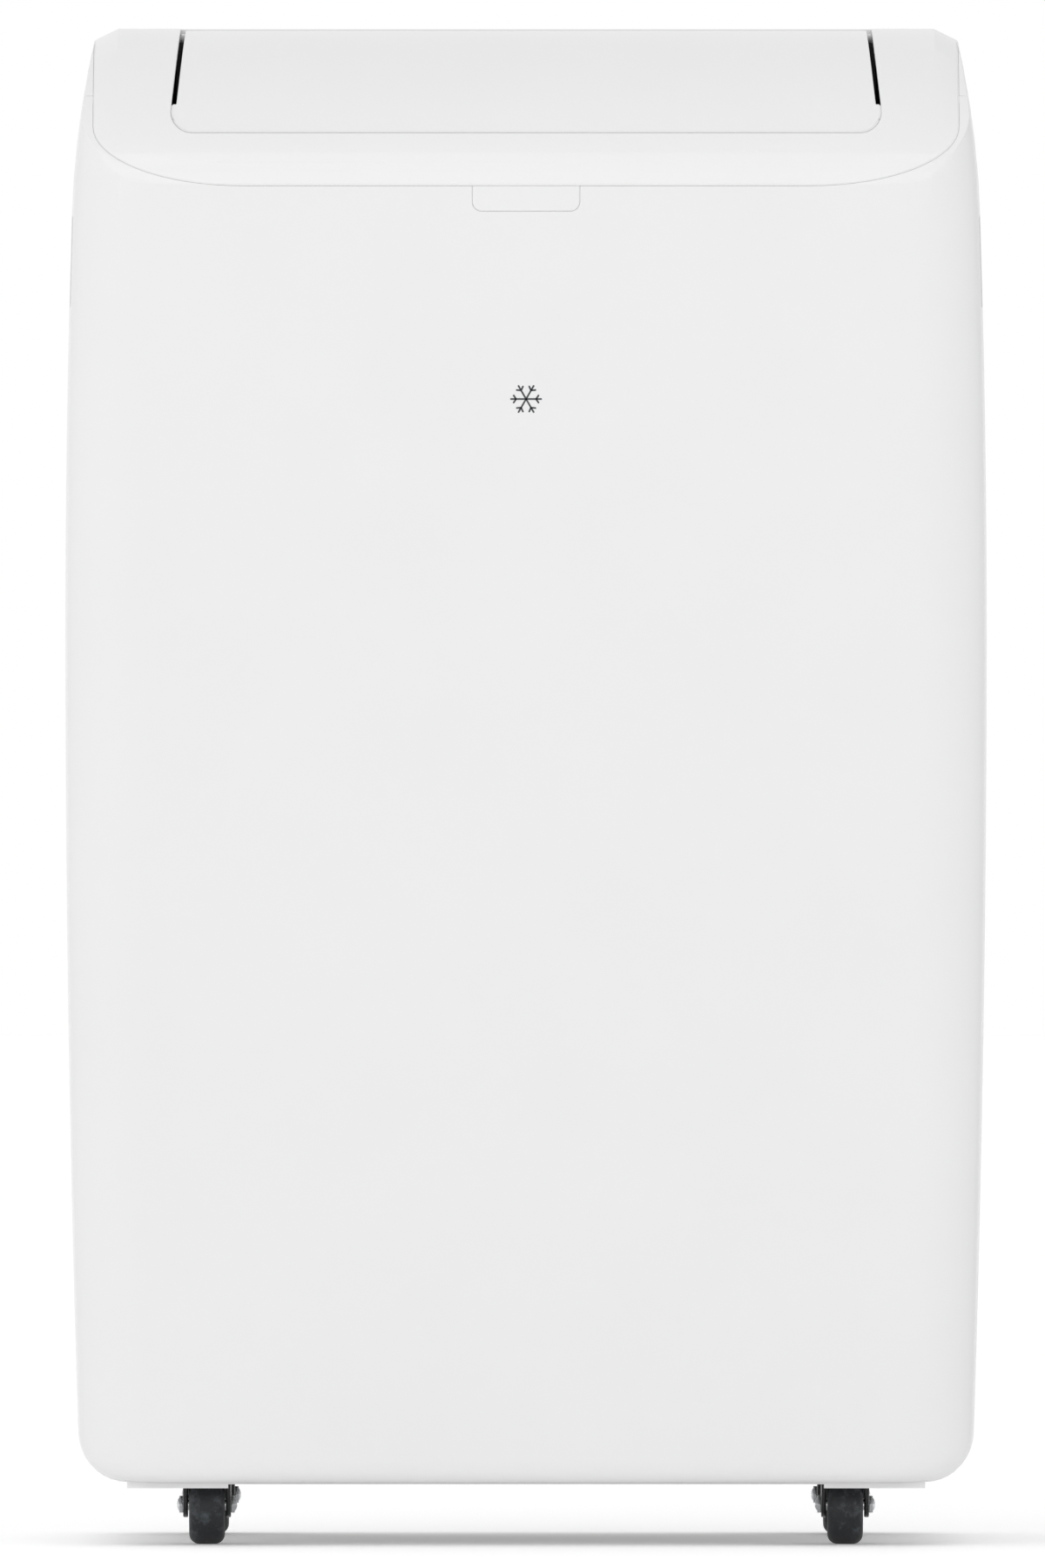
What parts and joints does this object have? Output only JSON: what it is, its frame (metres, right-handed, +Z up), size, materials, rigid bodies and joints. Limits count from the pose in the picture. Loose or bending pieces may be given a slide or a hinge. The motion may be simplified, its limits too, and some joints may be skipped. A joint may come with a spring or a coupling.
{
  "type": "portable air conditioner",
  "caption": "Free-standing room cooler on casters: bellied white cabinet, curved louvre flap over swinging vanes, rear intake grilles and round exhaust collar.",
  "frame": {"origin": "on the floor under the middle of the machine's bounding box", "axes": "+Z up, -Y is the front with the louvre flap, X runs across the front"},
  "size_m": [0.467, 0.397, 0.765],
  "materials": {
    "casing": "satin",
    "inner_plastic": "matte",
    "duct_plastic": "matte",
    "filter_net": "matte",
    "fan_plastic": "matte",
    "button": "satin",
    "window": "gloss",
    "caster_body": "matte",
    "tyre": "matte",
    "fins": "brushed",
    "copper": "drawn",
    "black_steel": "gloss",
    "motor_steel": "satin",
    "zinc_steel": "satin",
    "grommet": "matte",
    "board": "matte",
    "screw": "satin"
  },
  "bodies": {
    "cabinet": {"front_panel": "casing", "display_window": "window", "side_panel_right": "casing", "side_panel_left": "casing", "rear_shell": "casing", "rear_screws": "screw", "handle_cup_right": "casing", "handle_cup_left": "casing", "top_console": "casing", "outlet_duct": "duct_plastic", "control_panel": "casing", "control_board": "board", "lower_grille": "casing", "lower_filter": "filter_net", "exhaust_collar": "casing", "base_pan": "casing", "evaporator_scroll": "inner_plastic", "condenser_scroll": "inner_plastic", "evaporator_motor": "motor_steel", "condenser_motor": "motor_steel", "drip_tray": "inner_plastic", "compressor": "black_steel", "compressor_grommets": "grommet", "accumulator": "black_steel", "evaporator_coil": "fins", "condenser_coil": "fins", "discharge_pipe": "copper", "suction_pipe": "copper", "capillary_tube": "copper", "splash_motor": "motor_steel", "float_switch": "inner_plastic", "electrical_box": "zinc_steel", "cord_gland": "grommet"},
    "flap": {"louver_flap": "casing"},
    "intake_panel": {"upper_grille": "casing", "upper_filter": "filter_net"},
    "drain_cap": {"drain_cap": "casing"},
    "drain_plug": {"drain_plug": "grommet"},
    "evaporator_wheel": {"evaporator_wheel": "fan_plastic"},
    "condenser_wheel": {"condenser_wheel": "fan_plastic"},
    "splash_wheel": {"splash_wheel": "fan_plastic"},
    "vane_link": {"vane_link": "duct_plastic"},
    "vane_1": {"vane_1": "duct_plastic"},
    "vane_2": {"vane_2": "duct_plastic"},
    "vane_3": {"vane_3": "duct_plastic"},
    "vane_4": {"vane_4": "duct_plastic"},
    "vane_5": {"vane_5": "duct_plastic"},
    "button_power": {"button_power": "button"},
    "button_mode": {"button_mode": "button"},
    "button_cooler": {"button_cooler": "button"},
    "button_warmer": {"button_warmer": "button"},
    "button_fan_speed": {"button_fan_speed": "button"},
    "caster_front_left": {"caster_fork_front_left": "caster_body"},
    "wheel_front_left": {"caster_wheel_front_left": "tyre"},
    "caster_front_right": {"caster_fork_front_right": "caster_body"},
    "wheel_front_right": {"caster_wheel_front_right": "tyre"},
    "caster_rear_left": {"caster_fork_rear_left": "caster_body"},
    "wheel_rear_left": {"caster_wheel_rear_left": "tyre"},
    "caster_rear_right": {"caster_fork_rear_right": "caster_body"},
    "wheel_rear_right": {"caster_wheel_rear_right": "tyre"}
  },
  "joints": [
    {"name": "flap_tilt", "type": "hinge", "parent": "cabinet", "child": "flap", "pos_m": [0, -0.0976, 0.7595], "axis": [-1, 0, 0], "range_deg": [0, 70]},
    {"name": "vane_1_swing", "type": "hinge", "parent": "cabinet", "child": "vane_1", "pos_m": [-0.12, -0.096, 0.721], "axis": [0, 0, 1], "range_deg": [-40, 40]},
    {"name": "vane_2_swing", "type": "hinge", "parent": "cabinet", "child": "vane_2", "pos_m": [-0.06, -0.096, 0.721], "axis": [0, 0, 1], "range_deg": [-40, 40]},
    {"name": "vane_3_swing", "type": "hinge", "parent": "cabinet", "child": "vane_3", "pos_m": [0, -0.096, 0.721], "axis": [0, 0, 1], "range_deg": [-40, 40]},
    {"name": "vane_4_swing", "type": "hinge", "parent": "cabinet", "child": "vane_4", "pos_m": [0.06, -0.096, 0.721], "axis": [0, 0, 1], "range_deg": [-40, 40]},
    {"name": "vane_5_swing", "type": "hinge", "parent": "cabinet", "child": "vane_5", "pos_m": [0.12, -0.096, 0.721], "axis": [0, 0, 1], "range_deg": [-40, 40]},
    {"name": "link_turn", "type": "hinge", "parent": "vane_1", "child": "vane_link", "pos_m": [-0.12, -0.0696, 0.698], "axis": [0, 0, 1], "range_deg": [-40, 40]},
    {"name": "press_power", "type": "slide", "parent": "cabinet", "child": "button_power", "axis": [0, 0, -1], "range_m": [0, 0.001], "stiffness_N_per_m": 300, "springref_m": -0.001},
    {"name": "press_mode", "type": "slide", "parent": "cabinet", "child": "button_mode", "axis": [0, 0, -1], "range_m": [0, 0.001], "stiffness_N_per_m": 300, "springref_m": -0.001},
    {"name": "press_cooler", "type": "slide", "parent": "cabinet", "child": "button_cooler", "axis": [0, 0, -1], "range_m": [0, 0.001], "stiffness_N_per_m": 300, "springref_m": -0.001},
    {"name": "press_warmer", "type": "slide", "parent": "cabinet", "child": "button_warmer", "axis": [0, 0, -1], "range_m": [0, 0.001], "stiffness_N_per_m": 300, "springref_m": -0.001},
    {"name": "press_fan_speed", "type": "slide", "parent": "cabinet", "child": "button_fan_speed", "axis": [0, 0, -1], "range_m": [0, 0.001], "stiffness_N_per_m": 300, "springref_m": -0.001},
    {"name": "intake_panel_pull", "type": "slide", "parent": "cabinet", "child": "intake_panel", "axis": [0, 1, 0], "range_m": [0, 0.06]},
    {"name": "drain_cap_pull", "type": "slide", "parent": "cabinet", "child": "drain_cap", "axis": [0, 1, 0], "range_m": [0, 0.02]},
    {"name": "drain_plug_pull", "type": "slide", "parent": "cabinet", "child": "drain_plug", "axis": [0, 1, 0], "range_m": [0, 0.03]},
    {"name": "evaporator_spin", "type": "hinge", "parent": "cabinet", "child": "evaporator_wheel", "pos_m": [0, 0.0805, 0.596], "axis": [0, 1, 0], "continuous": true},
    {"name": "condenser_spin", "type": "hinge", "parent": "cabinet", "child": "condenser_wheel", "pos_m": [0.062, 0.0805, 0.19], "axis": [0, 1, 0], "continuous": true},
    {"name": "splash_spin", "type": "hinge", "parent": "cabinet", "child": "splash_wheel", "pos_m": [-0.03, 0.1225, 0.0684], "axis": [0, 1, 0], "continuous": true},
    {"name": "swivel_front_left", "type": "hinge", "parent": "cabinet", "child": "caster_front_left", "pos_m": [-0.161, -0.144, 0.05], "axis": [0, 0, 1], "continuous": true},
    {"name": "roll_front_left", "type": "hinge", "parent": "caster_front_left", "child": "wheel_front_left", "pos_m": [-0.161, -0.132, 0.02], "axis": [1, 0, 0], "continuous": true},
    {"name": "swivel_front_right", "type": "hinge", "parent": "cabinet", "child": "caster_front_right", "pos_m": [0.161, -0.144, 0.05], "axis": [0, 0, 1], "continuous": true},
    {"name": "roll_front_right", "type": "hinge", "parent": "caster_front_right", "child": "wheel_front_right", "pos_m": [0.161, -0.132, 0.02], "axis": [1, 0, 0], "continuous": true},
    {"name": "swivel_rear_left", "type": "hinge", "parent": "cabinet", "child": "caster_rear_left", "pos_m": [-0.161, 0.132, 0.05], "axis": [0, 0, 1], "continuous": true},
    {"name": "roll_rear_left", "type": "hinge", "parent": "caster_rear_left", "child": "wheel_rear_left", "pos_m": [-0.161, 0.144, 0.02], "axis": [1, 0, 0], "continuous": true},
    {"name": "swivel_rear_right", "type": "hinge", "parent": "cabinet", "child": "caster_rear_right", "pos_m": [0.161, 0.132, 0.05], "axis": [0, 0, 1], "continuous": true},
    {"name": "roll_rear_right", "type": "hinge", "parent": "caster_rear_right", "child": "wheel_rear_right", "pos_m": [0.161, 0.144, 0.02], "axis": [1, 0, 0], "continuous": true}
  ],
  "couplings": [
    {"joint": "vane_2_swing", "follows": "vane_1_swing", "ratio": 1},
    {"joint": "vane_3_swing", "follows": "vane_1_swing", "ratio": 1},
    {"joint": "vane_4_swing", "follows": "vane_1_swing", "ratio": 1},
    {"joint": "vane_5_swing", "follows": "vane_1_swing", "ratio": 1},
    {"joint": "link_turn", "follows": "vane_1_swing", "ratio": -1}
  ]
}
